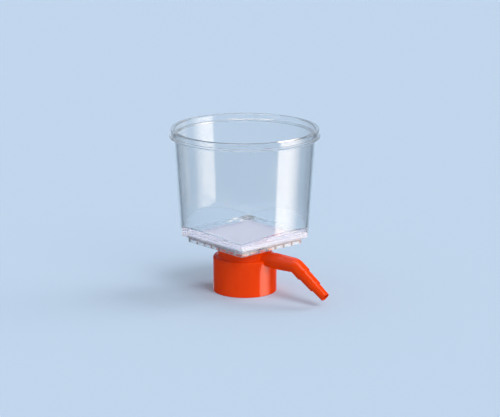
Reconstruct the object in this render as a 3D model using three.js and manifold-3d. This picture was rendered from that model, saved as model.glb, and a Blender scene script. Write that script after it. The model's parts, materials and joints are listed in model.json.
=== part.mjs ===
// Bottle-top vacuum filter with a 500 ml funnel, in millimetres, +Z up.
//
// A clear funnel carries liquid onto a square membrane, which lies on a clear plate with drain
// channels and a drip tube. The plate stands on an orange adapter that screws onto a bottle with a
// 45 mm neck. Suction comes in through a port in the adapter's side, over which an orange stepped
// hose connector is pushed, and the connector turns on that port.
//
// The origin is on the thread axis, in the plane of the adapter's open end, and +X points along
// the suction port.

import * as THREE from "three";
import { mergeVertices } from "three/addons/utils/BufferGeometryUtils.js";
import Module from "manifold-3d";

const wasm = await Module();
wasm.setup();

// ---------------------------------------------------------------- driving dimensions

const SEAT_GAP = 0.3; // left between any two pieces that seat on or in each other

// The bottle neck that the adapter fits
const NECK_THREAD_R = 22.5; // the bottle's thread, over its crests
const THREAD_CLEARANCE = 0.7; // from the thread's crests to the adapter's bore
const NECK_DEPTH = 21.5; // how far the bottle's neck goes in

// Adapter: threaded skirt, narrower collar above it, and a web with an air hole between them
const SKIRT_WALL = 3.5;
const SHOULDER_ROUND = 2.2; // the rounded outer edge of the skirt's top
const FOOT_CHAMFER = 0.6; // round the skirt's open end
const WEB_THICKNESS = 2.5;
const COLLAR_STEP = 3.9; // how far the collar stands in from the skirt
const COLLAR_WALL = 2.2;
const COLLAR_HEIGHT = 10.2; // above the shoulder
const COLLAR_FILLET = 1.2; // at the collar's foot
const AIR_GAP = 5; // between the drip tube and the web's hole

// Neck seal: the soft ring that the bottle's lip presses on
const SEAL_THICKNESS = 2;
const SEAL_WIDTH = 7.4;

// Suction port: a boss on the adapter, and the spigot that the hose connector is pushed over
const PORT_ABOVE_WEB = 4.1; // the port's axis above the web
const PORT_ABOVE_SHOULDER = 0.4;
const BOSS_R = 6.2;
const BOSS_REACH = 4.8; // how far the boss stands out of the skirt
const SPIGOT_R = 4.6;
const SPIGOT_LENGTH = 12;
const PORT_BORE_R = 3.05;

// Hose connector: a sleeve, a bend and a stepped tail, with one bore through them
const SLEEVE_R = 6.8; // at its open end
const BODY_R = 6.3; // at the bend
const SLEEVE_LENGTH = 19.7; // to the start of the bend
const BEND_R = 9; // of the bend's centreline
const BEND_ANGLE = 34.5; // degrees below the port's axis
const TAIL_LENGTH = 7.7; // from the end of the bend to the first step
const TAIL_R = 6.2; // at the first step
const STEPS = [
  { length: 14.8, from: 5.7, to: 5.2 }, // the step for a wide hose
  { length: 12.6, from: 4.3, to: 3.85 }, // the step for a narrow hose
];
const STEP_CHAMFER = 0.4;
const CONNECTOR_BORE_R = 2.9; // in the bend
const TIP_BORE_R = 2.45;

// Support plate: drain channels above, pockets round its underside, a locating ring and a drip tube
const PLATE_THICKNESS = 5.3;
const PLATE_CORNER_R = 1.2;
const CHANNEL_PITCH = 4.8;
const CHANNEL_WIDTH = 2.6;
const CHANNEL_DEPTH = 1.6;
const CHANNEL_MARGIN = 2; // from the channels' ends to the funnel's opening
const GUTTER_WIDTH = 5; // the channel across the others, over the outlet
const GUTTER_DEPTH = 2.2;
const PLATE_SKIN = 0.7; // between the gutter's bottom and the pockets
const POCKET_WALL = 1.8; // also the thickness of the ribs between the pockets
const POCKETS_A_SIDE = 7; // in the row of square pockets under each edge
const SEAT_MARGIN = 1.2; // from the collar that the plate stands on to the nearest pocket
const RING_WALL = 1.8;
const RING_DEPTH = 3;
const DRIP_R = 6;
const DRIP_BORE_R = 4;
const DRIP_LENGTH = 30; // below the plate
const DRIP_CHAMFER = 0.8;

// Membrane
const MEMBRANE_THICKNESS = 0.2;

// Funnel: square opening and flange at the bottom, round wall and rim at the top
const OPENING = 57.6; // side of the square opening over the membrane
const SEAL_MARGIN = 4.8; // from the opening's edge to the plate's edge
const FLANGE_LAND = 3.6; // from the plate's edge to the flange's edge
const FLANGE_CORNER_R = 1.6;
const RECESS_DEPTH = 1.1; // how far the plate goes up into the flange
const LIP_THICKNESS = 1.3; // the floor at the opening's edge
const FLOOR_ANGLE = 28.2; // degrees, from the opening up to the wall
const FUNNEL_WALL = 2.2;
const FUNNEL_HEIGHT = 92.4; // from the flange's underside to the rim
const CORNER_MARGIN = 0.3; // from the flange's corners to the wall's foot
const DRAFT_ANGLE = 3.55; // degrees, of the round wall
const RIM_HEIGHT = 5.6;
const RIM_WIDTH = 3.6;
const RIM_OVERHANG = 2.9; // the rim's outside from the wall's outside
const RIM_POCKET_DEPTH = 4.7; // from the rim down to the ledge inside it
const RIM_EDGE = 0.5; // chamfer on the rim's two top edges
const BEAD_OVERHANG = 0.9; // from the rim's outside
const BEAD_THICKNESS = 1;
const GROOVE_DEPTH = 0.35; // the thin groove between bead and rim
const GROOVE_HEIGHT = 0.6;
const KEY_WIDTH = 2.4; // the two small keys on the rim's outside
const KEY_HEIGHT = 0.5;

// How the square parts are turned from the port, and the rim's keys from the square parts
const HOLDER_TURN = -8.2;
const KEY_TURN = -50.8;

// Facets
const FUNNEL_SEGMENTS = 96;
const ADAPTER_SEGMENTS = 72;
const TUBE_SEGMENTS = 40;
const BEND_STEPS = 6;
const ARC_STEPS = 6;

// ---------------------------------------------------------------- what follows from them

const tan = (degrees) => Math.tan(THREE.MathUtils.degToRad(degrees));
const cos = (degrees) => Math.cos(THREE.MathUtils.degToRad(degrees));
const sin = (degrees) => Math.sin(THREE.MathUtils.degToRad(degrees));

// Adapter, from the open end up
const neckBoreR = NECK_THREAD_R + THREAD_CLEARANCE;
const skirtR = neckBoreR + SKIRT_WALL;
const sealTop = NECK_DEPTH + SEAL_THICKNESS;
const webBottom = sealTop + SEAT_GAP;
const webTop = webBottom + WEB_THICKNESS;
const webHoleR = DRIP_R + AIR_GAP;
const collarR = skirtR - COLLAR_STEP;
const collarFillet = Math.min(COLLAR_FILLET, COLLAR_STEP - SHOULDER_ROUND);
const portZ = webTop + PORT_ABOVE_WEB;
const shoulderZ = portZ - PORT_ABOVE_SHOULDER;
const collarTop = shoulderZ + COLLAR_HEIGHT;
const chamberR = collarR - COLLAR_WALL;
const bossEnd = skirtR + BOSS_REACH;
const spigotEnd = bossEnd + SPIGOT_LENGTH;
const bendLength = BEND_R * THREE.MathUtils.degToRad(BEND_ANGLE); // along the centreline

// Plate, membrane and funnel, from the collar up
const openingHalf = OPENING / 2;
const plateHalf = openingHalf + SEAL_MARGIN;
const plateBottom = collarTop + SEAT_GAP;
const plateTop = plateBottom + PLATE_THICKNESS;
const pocketDepth = PLATE_THICKNESS - GUTTER_DEPTH - PLATE_SKIN;
const channelHalf = openingHalf - CHANNEL_MARGIN; // from the middle to the channels' ends
const channelsEachSide = Math.floor((channelHalf - CHANNEL_WIDTH / 2) / CHANNEL_PITCH);
const membraneBottom = plateTop + SEAT_GAP;
const membraneTop = membraneBottom + MEMBRANE_THICKNESS;
const recessTop = membraneTop + SEAT_GAP;
const flangeBottom = recessTop - RECESS_DEPTH;
const flangeHalf = plateHalf + SEAT_GAP + FLANGE_LAND;
const lipTop = recessTop + LIP_THICKNESS;
const floorDrop = FUNNEL_WALL / cos(FLOOR_ANGLE); // the floor's thickness, measured upright
const flangeTop = lipTop + (flangeHalf - openingHalf) * tan(FLOOR_ANGLE) - floorDrop;
const rimTop = flangeBottom + FUNNEL_HEIGHT;
const wallFootR = flangeHalf * Math.SQRT2 + CORNER_MARGIN;

/** The radius of the round wall's outside at a height. */
const wallR = (z) => wallFootR + (z - flangeTop) * tan(DRAFT_ANGLE);

// ---------------------------------------------------------------- solids

/** A closed geometry as a solid that can be joined and cut. */
function solid(geometry) {
  const bare = geometry.clone();
  bare.deleteAttribute("normal");
  bare.deleteAttribute("uv");
  const welded = mergeVertices(bare, 1e-4);
  const corners = welded.index.array;
  const at = (i) => new THREE.Vector3().fromBufferAttribute(welded.attributes.position, i);
  const triangles = [];
  let volume = 0;
  for (let i = 0; i < corners.length; i += 3) {
    const [a, b, c] = corners.subarray(i, i + 3);
    if (a === b || b === c || c === a) continue;
    triangles.push(a, b, c);
    volume += at(a).dot(at(b).cross(at(c)));
  }
  if (volume < 0) triangles.reverse();
  const mesh = new wasm.Mesh({
    numProp: 3,
    vertProperties: Float32Array.from(welded.attributes.position.array),
    triVerts: Uint32Array.from(triangles),
  });
  return new wasm.Manifold(mesh);
}

/** A solid's surface as a three.js geometry. */
function surface(body) {
  const mesh = body.getMesh();
  const geometry = new THREE.BufferGeometry();
  geometry.setAttribute("position", new THREE.BufferAttribute(mesh.vertProperties, 3));
  geometry.setIndex(new THREE.BufferAttribute(mesh.triVerts, 1));
  geometry.computeVertexNormals();
  return geometry;
}

const joined = (bodies) => bodies.reduce((whole, body) => whole.add(body));
const cut = (body, tools) => tools.reduce((rest, tool) => rest.subtract(tool), body);
const point = (x, y) => new THREE.Vector2(x, y);

/** A profile of (radius, height) points turned about the Z axis. */
function revolved(profile, segments) {
  return solid(new THREE.LatheGeometry(profile, segments).rotateX(Math.PI / 2));
}

/** The points of a quarter arc in a profile, from one angle to another, in degrees. */
function arc(x, y, radius, from, to) {
  const angles = Array.from({ length: ARC_STEPS + 1 }, (_, i) => from + ((to - from) * i) / ARC_STEPS);
  return angles.map((angle) => point(x + radius * cos(angle), y + radius * sin(angle)));
}

/** An upright rod between two heights. */
const rod = (radius, bottom, top, segments = TUBE_SEGMENTS) =>
  revolved([point(0, bottom), point(radius, bottom), point(radius, top), point(0, top)], segments);

/** A rod along +X at the height of the suction port. */
function portRod(radius, from, to) {
  const geometry = new THREE.CylinderGeometry(radius, radius, to - from, TUBE_SEGMENTS);
  return solid(geometry.rotateZ(Math.PI / 2).translate((from + to) / 2, 0, portZ));
}

/** A block about the Z axis: half sizes along X and Y, and its two heights. */
function block(halfX, halfY, bottom, top) {
  const geometry = new THREE.BoxGeometry(2 * halfX, 2 * halfY, top - bottom);
  return solid(geometry.translate(0, 0, (bottom + top) / 2));
}

/** A square slab with rounded corners. */
function slab(half, cornerR, bottom, top) {
  const shape = new THREE.Shape();
  const flat = half - cornerR;
  shape.moveTo(half, -flat);
  shape.lineTo(half, flat);
  shape.absarc(flat, flat, cornerR, 0, Math.PI / 2);
  shape.absarc(-flat, flat, cornerR, Math.PI / 2, Math.PI);
  shape.absarc(-flat, -flat, cornerR, Math.PI, 1.5 * Math.PI);
  shape.absarc(flat, -flat, cornerR, 1.5 * Math.PI, 2 * Math.PI);
  const options = { depth: top - bottom, bevelEnabled: false, curveSegments: ARC_STEPS };
  return solid(new THREE.ExtrudeGeometry(shape, options).translate(0, 0, bottom));
}

/** A square hopper that opens upwards at the floor's angle, with its square given at one height. */
function hopper(half, z, top) {
  const topHalf = half + (top - z) / tan(FLOOR_ANGLE);
  const height = top - z;
  const geometry = new THREE.CylinderGeometry(topHalf * Math.SQRT2, half * Math.SQRT2, height, 4);
  geometry.rotateX(Math.PI / 2).rotateZ(Math.PI / 4);
  return solid(geometry.translate(0, 0, (z + top) / 2));
}

// ---------------------------------------------------------------- funnel

/** The outside of the wall and rim, as a filled form. */
function funnelOutside() {
  const beadBottom = rimTop - RIM_HEIGHT - BEAD_THICKNESS;
  const beadTop = rimTop - RIM_HEIGHT;
  const rimR = wallR(beadBottom) + RIM_OVERHANG;
  const beadR = rimR + BEAD_OVERHANG;
  const beadRound = BEAD_THICKNESS / 2;
  const grooveTop = beadTop + GROOVE_HEIGHT;
  return revolved(
    [
      point(0, flangeBottom),
      point(wallR(flangeBottom), flangeBottom),
      point(wallR(beadBottom), beadBottom),
      ...arc(beadR - beadRound, beadBottom + beadRound, beadRound, -90, 90),
      point(rimR - GROOVE_DEPTH, beadTop),
      point(rimR - GROOVE_DEPTH, grooveTop),
      point(rimR, grooveTop + GROOVE_DEPTH),
      point(rimR, rimTop - RIM_EDGE),
      point(rimR - RIM_EDGE, rimTop),
      point(0, rimTop),
    ],
    FUNNEL_SEGMENTS,
  );
}

/** The round inside of the wall, with the wider pocket in the rim. */
function funnelInside() {
  const beadBottom = rimTop - RIM_HEIGHT - BEAD_THICKNESS;
  const mouthR = wallR(beadBottom) + RIM_OVERHANG - RIM_WIDTH;
  const ledge = rimTop - RIM_POCKET_DEPTH;
  const bottom = flangeBottom - 1;
  return revolved(
    [
      point(0, bottom),
      point(wallR(bottom) - FUNNEL_WALL, bottom),
      point(wallR(ledge) - FUNNEL_WALL, ledge),
      point(mouthR, ledge),
      point(mouthR, rimTop - RIM_EDGE),
      point(mouthR + RIM_EDGE, rimTop),
      point(mouthR + RIM_EDGE, rimTop + 1),
      point(0, rimTop + 1),
    ],
    FUNNEL_SEGMENTS,
  );
}

/** The two keys on the rim's outside, opposite each other. */
function rimKeys() {
  const reach = wallR(rimTop - RIM_HEIGHT - BEAD_THICKNESS) + RIM_OVERHANG + KEY_HEIGHT;
  const bar = block(reach, KEY_WIDTH / 2, rimTop - RIM_HEIGHT, rimTop - RIM_EDGE);
  return bar.rotate([0, 0, KEY_TURN]);
}

/** The funnel: a round wall that four sloping floors bring down to a square opening and flange. */
function funnel() {
  const above = rimTop + 2;
  const walls = funnelOutside().intersect(hopper(flangeHalf, flangeTop, above));
  const flange = slab(flangeHalf, FLANGE_CORNER_R, flangeBottom, flangeTop);
  const bowl = funnelInside().intersect(hopper(openingHalf, lipTop, above));
  const opening = block(openingHalf, openingHalf, flangeBottom - 1, lipTop + SEAT_GAP);
  const recessHalf = plateHalf + SEAT_GAP;
  const recess = slab(recessHalf, PLATE_CORNER_R + SEAT_GAP, flangeBottom - 1, recessTop);
  return cut(joined([walls, flange, rimKeys()]), [bowl, opening, recess]);
}

// ---------------------------------------------------------------- membrane and its plate

/** The square of filter membrane, clamped round its edge. */
function membrane() {
  const half = plateHalf - SEAT_GAP;
  return slab(half, PLATE_CORNER_R, membraneBottom, membraneTop);
}

/** The channels in the plate's top, side by side, with a gutter across them. */
function drainChannels() {
  const bottom = plateTop - CHANNEL_DEPTH;
  const outermost = channelsEachSide * CHANNEL_PITCH;
  const channels = Array.from({ length: 2 * channelsEachSide + 1 }, (_, i) => {
    const channel = block(channelHalf, CHANNEL_WIDTH / 2, bottom, plateTop + 1);
    return channel.translate([0, i * CHANNEL_PITCH - outermost, 0]);
  });
  const gutterHalf = outermost + CHANNEL_WIDTH / 2;
  const gutter = block(GUTTER_WIDTH / 2, gutterHalf, plateTop - GUTTER_DEPTH, plateTop + 1);
  return joined([...channels, gutter]);
}

/** The square pockets round the plate's underside, in rows that stay clear of its round seat. */
function edgePockets() {
  const pitch = (2 * plateHalf - POCKET_WALL) / POCKETS_A_SIDE;
  const half = (pitch - POCKET_WALL) / 2;
  const outermost = plateHalf - POCKET_WALL - half;
  const rows = Array.from({ length: POCKETS_A_SIDE }, (_, i) => i * pitch - outermost);
  const clearOfSeat = ([x, y]) => {
    const corner = [Math.max(Math.abs(x) - half, 0), Math.max(Math.abs(y) - half, 0)];
    return Math.hypot(...corner) > collarR + SEAT_MARGIN;
  };
  const places = rows.flatMap((x) => rows.map((y) => [x, y])).filter(clearOfSeat);
  const pocket = block(half, half, plateBottom - 1, plateBottom + pocketDepth);
  return joined(places.map(([x, y]) => pocket.translate([x, y, 0])));
}

/** The drip tube under the plate, as a filled form with a chamfered end. */
function dripTube() {
  const end = plateBottom - DRIP_LENGTH;
  const inside = plateBottom + SEAT_GAP;
  return revolved(
    [
      point(0, end),
      point(DRIP_R - DRIP_CHAMFER, end),
      point(DRIP_R, end + DRIP_CHAMFER),
      point(DRIP_R, inside),
      point(0, inside),
    ],
    TUBE_SEGMENTS,
  );
}

/** The support plate: a slab with channels, pockets, a locating ring and the drip tube. */
function supportPlate() {
  const body = slab(plateHalf, PLATE_CORNER_R, plateBottom, plateTop);
  const ringR = chamberR - SEAT_GAP;
  const ring = rod(ringR, plateBottom - RING_DEPTH, plateBottom + SEAT_GAP, ADAPTER_SEGMENTS);
  const ringInside = rod(ringR - RING_WALL, plateBottom - RING_DEPTH - 1, plateBottom, ADAPTER_SEGMENTS);
  const outlet = rod(DRIP_BORE_R, plateBottom - DRIP_LENGTH - 1, plateTop + 1);
  const under = cut(joined([body, ring]), [ringInside, edgePockets(), drainChannels()]);
  return cut(under.add(dripTube()), [outlet]);
}

// ---------------------------------------------------------------- adapter and seal

/** The adapter's outside: skirt, rounded shoulder and collar, as a filled form. */
function adapterOutside() {
  const filletR = collarR + collarFillet;
  return revolved(
    [
      point(0, 0),
      point(skirtR - FOOT_CHAMFER, 0),
      point(skirtR, FOOT_CHAMFER),
      ...arc(skirtR - SHOULDER_ROUND, shoulderZ - SHOULDER_ROUND, SHOULDER_ROUND, 0, 90),
      ...arc(filletR, shoulderZ + collarFillet, collarFillet, 270, 180),
      point(collarR, collarTop),
      point(0, collarTop),
    ],
    ADAPTER_SEGMENTS,
  );
}

/** The adapter: the bottle's socket below the web, the suction chamber above, the port in its side. */
function neckAdapter() {
  const boss = portRod(BOSS_R, chamberR, bossEnd);
  const spigot = portRod(SPIGOT_R, chamberR, spigotEnd);
  const socket = rod(neckBoreR, -1, webBottom, ADAPTER_SEGMENTS);
  const airHole = rod(webHoleR, 0, collarTop, ADAPTER_SEGMENTS);
  const chamber = rod(chamberR, webTop, collarTop + 1, ADAPTER_SEGMENTS);
  const portBore = portRod(PORT_BORE_R, webHoleR, spigotEnd + 1);
  return cut(joined([adapterOutside(), boss, spigot]), [socket, airHole, chamber, portBore]);
}

/** The soft ring under the web. */
function neckSeal() {
  const outer = neckBoreR - SEAT_GAP;
  const ring = rod(outer, NECK_DEPTH, sealTop, ADAPTER_SEGMENTS);
  return cut(ring, [rod(outer - SEAL_WIDTH, NECK_DEPTH - 1, sealTop + 1, ADAPTER_SEGMENTS)]);
}

// ---------------------------------------------------------------- hose connector

/** The point, outward normal and side of the connector's centreline at a distance along it. */
function centreline(distance) {
  const start = bossEnd + SEAT_GAP + SLEEVE_LENGTH;
  const into = THREE.MathUtils.clamp((distance - SLEEVE_LENGTH) / bendLength, 0, 1);
  const turn = into * BEND_ANGLE;
  const before = Math.min(distance - SLEEVE_LENGTH, 0);
  const after = Math.max(distance - SLEEVE_LENGTH - bendLength, 0);
  const x = start + before + BEND_R * sin(turn) + after * cos(turn);
  const z = portZ - BEND_R * (1 - cos(turn)) - after * sin(turn);
  return { place: new THREE.Vector3(x, 0, z), up: new THREE.Vector3(sin(turn), 0, cos(turn)) };
}

/** A profile of (radius, distance) points turned into a tube and laid along the centreline. */
function bentTube(profile) {
  const geometry = new THREE.LatheGeometry(profile, TUBE_SEGMENTS);
  const vertices = geometry.attributes.position;
  for (let i = 0; i < vertices.count; i += 1) {
    const { place, up } = centreline(vertices.getY(i));
    place.addScaledVector(up, vertices.getX(i));
    place.y += vertices.getZ(i);
    vertices.setXYZ(i, place.x, place.y, place.z);
  }
  return solid(geometry);
}

/** The profile points across the bend, on a radius that changes evenly. */
function acrossBend(from, to) {
  return Array.from({ length: BEND_STEPS + 1 }, (_, i) =>
    point(from + ((to - from) * i) / BEND_STEPS, SLEEVE_LENGTH + (bendLength * i) / BEND_STEPS),
  );
}

/** The connector: a closed outline of its wall, turned and bent in one. */
function hoseConnector() {
  const tailStart = SLEEVE_LENGTH + bendLength;
  const socketR = SPIGOT_R + SEAT_GAP;
  const outline = [
    point(SLEEVE_R - STEP_CHAMFER, 0),
    point(SLEEVE_R, STEP_CHAMFER),
    ...acrossBend(BODY_R, BODY_R),
    point(TAIL_R, tailStart + TAIL_LENGTH - STEP_CHAMFER),
    point(TAIL_R - STEP_CHAMFER, tailStart + TAIL_LENGTH),
  ];
  let end = tailStart + TAIL_LENGTH;
  for (const step of STEPS) {
    outline.push(point(step.from, end));
    end += step.length;
    outline.push(point(step.to, end - STEP_CHAMFER), point(step.to - STEP_CHAMFER, end));
  }
  outline.push(
    point(TIP_BORE_R, end),
    ...acrossBend(CONNECTOR_BORE_R, CONNECTOR_BORE_R).reverse(),
    point(CONNECTOR_BORE_R, SPIGOT_LENGTH + SEAT_GAP),
    point(socketR, SPIGOT_LENGTH),
    point(socketR, 0),
    point(SLEEVE_R - STEP_CHAMFER, 0),
  );
  return bentTube(outline);
}

// ---------------------------------------------------------------- the assembly

const clearPolystyrene = () =>
  new THREE.MeshStandardMaterial({
    color: 0xe8f1f6,
    roughness: 0.05,
    metalness: 0,
    transparent: true,
    opacity: 0.32,
  });
const orangePlastic = () =>
  new THREE.MeshStandardMaterial({ color: 0xf24a08, roughness: 0.28, metalness: 0 });
const whiteMembrane = () =>
  new THREE.MeshStandardMaterial({ color: 0xf1f0f4, roughness: 0.85, metalness: 0 });
const paleSilicone = () =>
  new THREE.MeshStandardMaterial({ color: 0xdcdcd6, roughness: 0.6, metalness: 0 });

/** A named mesh of one piece. */
function piece(name, body, material) {
  const mesh = new THREE.Mesh(surface(body), material);
  mesh.name = name;
  return mesh;
}

const holder = new THREE.Group();
holder.rotation.z = THREE.MathUtils.degToRad(HOLDER_TURN);
holder.add(
  piece("funnel", funnel(), clearPolystyrene()),
  piece("membrane", membrane(), whiteMembrane()),
  piece("support_plate", supportPlate(), clearPolystyrene()),
);

const group = new THREE.Group();
group.add(
  holder,
  piece("neck_adapter", neckAdapter(), orangePlastic()),
  piece("neck_seal", neckSeal(), paleSilicone()),
  piece("hose_connector", hoseConnector(), orangePlastic()),
);

export default group;
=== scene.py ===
# %% [markdown]
# # A bottle-top vacuum filter
#
# The real thing is a laboratory filter that screws onto a bottle. A clear funnel carries the liquid
# onto a square membrane, a clear plate holds the membrane flat and drains it, and an orange adapter
# joins the plate to the bottle's neck and to a vacuum hose. This lesson starts from the packed
# parts, which are the fixed frame, and gives them the shapes and finishes that the eye expects.
#
# Everything is in metres. Sizes are written in millimetres and turned to metres where they are used.

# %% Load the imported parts
import json
import math

import bmesh
import bpy
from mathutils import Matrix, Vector


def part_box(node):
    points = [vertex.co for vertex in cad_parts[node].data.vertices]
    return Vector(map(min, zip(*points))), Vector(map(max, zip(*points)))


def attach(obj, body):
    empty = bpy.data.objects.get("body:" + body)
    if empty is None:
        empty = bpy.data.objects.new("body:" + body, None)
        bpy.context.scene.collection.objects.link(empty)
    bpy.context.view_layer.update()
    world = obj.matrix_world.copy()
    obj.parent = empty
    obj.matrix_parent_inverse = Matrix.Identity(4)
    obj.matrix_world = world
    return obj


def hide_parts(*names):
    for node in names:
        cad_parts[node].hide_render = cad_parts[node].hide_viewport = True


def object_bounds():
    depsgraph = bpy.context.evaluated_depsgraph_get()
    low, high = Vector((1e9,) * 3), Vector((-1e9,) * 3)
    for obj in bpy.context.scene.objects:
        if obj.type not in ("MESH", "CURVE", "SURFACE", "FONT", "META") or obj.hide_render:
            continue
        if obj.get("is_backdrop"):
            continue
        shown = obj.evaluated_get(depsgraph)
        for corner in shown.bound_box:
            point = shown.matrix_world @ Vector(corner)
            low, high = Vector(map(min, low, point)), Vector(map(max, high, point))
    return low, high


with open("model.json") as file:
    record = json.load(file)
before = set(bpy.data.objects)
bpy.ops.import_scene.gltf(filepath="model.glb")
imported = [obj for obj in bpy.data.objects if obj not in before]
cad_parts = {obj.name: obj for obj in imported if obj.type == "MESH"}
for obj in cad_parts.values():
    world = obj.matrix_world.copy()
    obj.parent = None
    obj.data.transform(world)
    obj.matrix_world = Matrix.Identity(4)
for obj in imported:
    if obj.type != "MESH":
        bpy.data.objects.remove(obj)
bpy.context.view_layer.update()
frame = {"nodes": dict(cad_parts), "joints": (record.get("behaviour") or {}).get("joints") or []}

MM = 0.001  # a millimetre in metres

print("nodes:", ", ".join(sorted(frame["nodes"])))

# %% [markdown]
# ## Sizes
#
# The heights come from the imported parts, so that every new piece lands where its part is. The other
# sizes are those of the moulds. The square pieces are turned a little from the hose port, so they
# are modelled straight and turned at the end.

# %% Sizes of the clear pieces
funnel_low, funnel_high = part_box("funnel")
plate_low, plate_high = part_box("support_plate")
adapter_low, adapter_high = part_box("neck_adapter")

RIM_TOP = funnel_high.z / MM
FLANGE_BOTTOM = funnel_low.z / MM
HOLDER_TURN = math.radians(-8.2)  # of the square pieces, from the hose port
KEY_TURN = math.radians(-50.8)  # of the rim's keys, from the square pieces

OPENING_HALF = 28.8  # half the side of the opening over the membrane
FLANGE_HALF = 37.5
FLANGE_CORNER = 1.6
RECESS_HALF = 33.9
RECESS_CORNER = 1.5
RECESS_DEPTH = 1.1
LIP = 1.3  # the floor's thickness at the opening
FLOOR_SLOPE = math.radians(28.2)
WALL = 2.2
DRAFT = math.radians(3.55)
CORNER_MARGIN = 0.3  # from the flange's corners to the wall's foot

RIM_HEIGHT = 5.6
RIM_WIDTH = 3.6
RIM_OVERHANG = 2.9
RIM_POCKET = 4.7  # from the rim down to the ledge inside it
RIM_EDGE = 0.5
BEAD = 1.0  # the bead's thickness
BEAD_OVERHANG = 0.895
GROOVE_DEPTH = 0.35
GROOVE_HEIGHT = 0.6
KEY_WIDTH = 2.4
KEY_HEIGHT = 0.5

recess_top = FLANGE_BOTTOM + RECESS_DEPTH
lip_top = recess_top + LIP
floor_rise = (FLANGE_HALF - OPENING_HALF) * math.tan(FLOOR_SLOPE)
flange_top = lip_top + floor_rise - WALL / math.cos(FLOOR_SLOPE)
wall_foot = FLANGE_HALF * math.sqrt(2) + CORNER_MARGIN
bead_bottom = RIM_TOP - RIM_HEIGHT - BEAD
bead_top = RIM_TOP - RIM_HEIGHT


def wall_radius(height):
    """The radius of the wall's outside at a height."""
    return wall_foot + (height - flange_top) * math.tan(DRAFT)


rim_radius = wall_radius(bead_bottom) + RIM_OVERHANG
mouth_radius = rim_radius - RIM_WIDTH
print("rim's outside:", round(rim_radius, 2), "mm, flange's top:", round(flange_top, 2), "mm")

# %% [markdown]
# ## The camera
#
# A long lens from a little above the rim keeps the funnel's sides nearly parallel. The camera looks
# past the thread's axis by a few millimetres, so that the hose connector has room on its side.

# %% Place the camera
CAMERA_AZIMUTH = math.radians(40)
CAMERA_ELEVATION = math.radians(14.35)
CAMERA_DISTANCE = 1.8
LENS = 156.1
LOOK_AT_HEIGHT = 69 * MM
LOOK_ASIDE = 4.27 * MM
LOOK_ABOVE = 0.6 * MM

towards_camera = Vector(
    (
        math.sin(CAMERA_AZIMUTH) * math.cos(CAMERA_ELEVATION),
        -math.cos(CAMERA_AZIMUTH) * math.cos(CAMERA_ELEVATION),
        math.sin(CAMERA_ELEVATION),
    )
)
camera_right = Vector((math.cos(CAMERA_AZIMUTH), math.sin(CAMERA_AZIMUTH), 0))
camera_up = towards_camera.cross(camera_right)
look_at = Vector((0, 0, LOOK_AT_HEIGHT)) + LOOK_ASIDE * camera_right + LOOK_ABOVE * camera_up

bpy.ops.object.camera_add(location=look_at + CAMERA_DISTANCE * towards_camera)
camera = bpy.context.active_object
camera.name = "camera"
camera.rotation_euler = towards_camera.to_track_quat("Z", "Y").to_euler()
camera.data.lens = LENS
bpy.context.scene.camera = camera
print("camera at", [round(c, 3) for c in camera.location])

# %% [markdown]
# ## Small helpers
#
# Edit operators act on all that is selected, so each step first selects one object, and then picks
# faces or edges by their place. A new piece ends with its place in its mesh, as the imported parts
# have theirs.


# %% Helpers for selecting
MERGE = 0.001 * MM  # corners nearer than this are one


def only(piece):
    """Selects one object and makes it active."""
    bpy.ops.object.select_all(action="DESELECT")
    piece.select_set(True)
    bpy.context.view_layer.objects.active = piece


def pick(kind, test):
    """In edit mode, selects the vertices, edges or faces whose corners all pass a test."""
    bpy.ops.mesh.select_mode(type={"verts": "VERT", "edges": "EDGE", "faces": "FACE"}[kind])
    bpy.ops.mesh.select_all(action="DESELECT")
    drawn = bmesh.from_edit_mesh(bpy.context.edit_object.data)
    for element in getattr(drawn, kind):
        corners = [element] if kind == "verts" else element.verts
        element.select_set(all(test(corner.co / MM) for corner in corners))
    drawn.select_flush_mode()
    bmesh.update_edit_mesh(bpy.context.edit_object.data)


def near(a, b, within=0.01):
    """Whether two lengths in mm are the same."""
    return abs(a - b) < within


print("corners merge within", MERGE, "m")


# %% Helpers for modifiers
CORNER = math.radians(40)


def apply_modifier(piece, kind, **settings):
    """Adds a modifier with its settings and applies it."""
    only(piece)
    modifier = piece.modifiers.new(kind.lower(), kind)
    for name, value in settings.items():
        setattr(modifier, name, value)
    bpy.ops.object.modifier_apply(modifier=modifier.name)


def combine(piece, tool, operation):
    """Joins a tool to a piece or cuts it away, and merges corners that the cut left side by side."""
    apply_modifier(piece, "BOOLEAN", object=tool, operation=operation, solver="EXACT")
    bpy.data.objects.remove(tool)
    bpy.ops.object.mode_set(mode="EDIT")
    bpy.ops.mesh.select_all(action="SELECT")
    bpy.ops.mesh.remove_doubles(threshold=MERGE)
    bpy.ops.object.mode_set(mode="OBJECT")


def soften_edges(piece, width, segments):
    """Rounds every edge that turns by more than a corner's least angle, by a width in mm."""
    limits = {"limit_method": "ANGLE", "angle_limit": CORNER}
    apply_modifier(piece, "BEVEL", width=width * MM, segments=segments, **limits)


print("edges that turn by over", round(math.degrees(CORNER)), "degrees are corners")


# %% [markdown]
# ## Turned and square forms
#
# Most of the pieces are turned: an outline of corners is extruded point by point, spun once round
# and closed. The square ones start from a cube. Both are then rounded with bevels on edges that are
# picked by their place.


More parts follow.
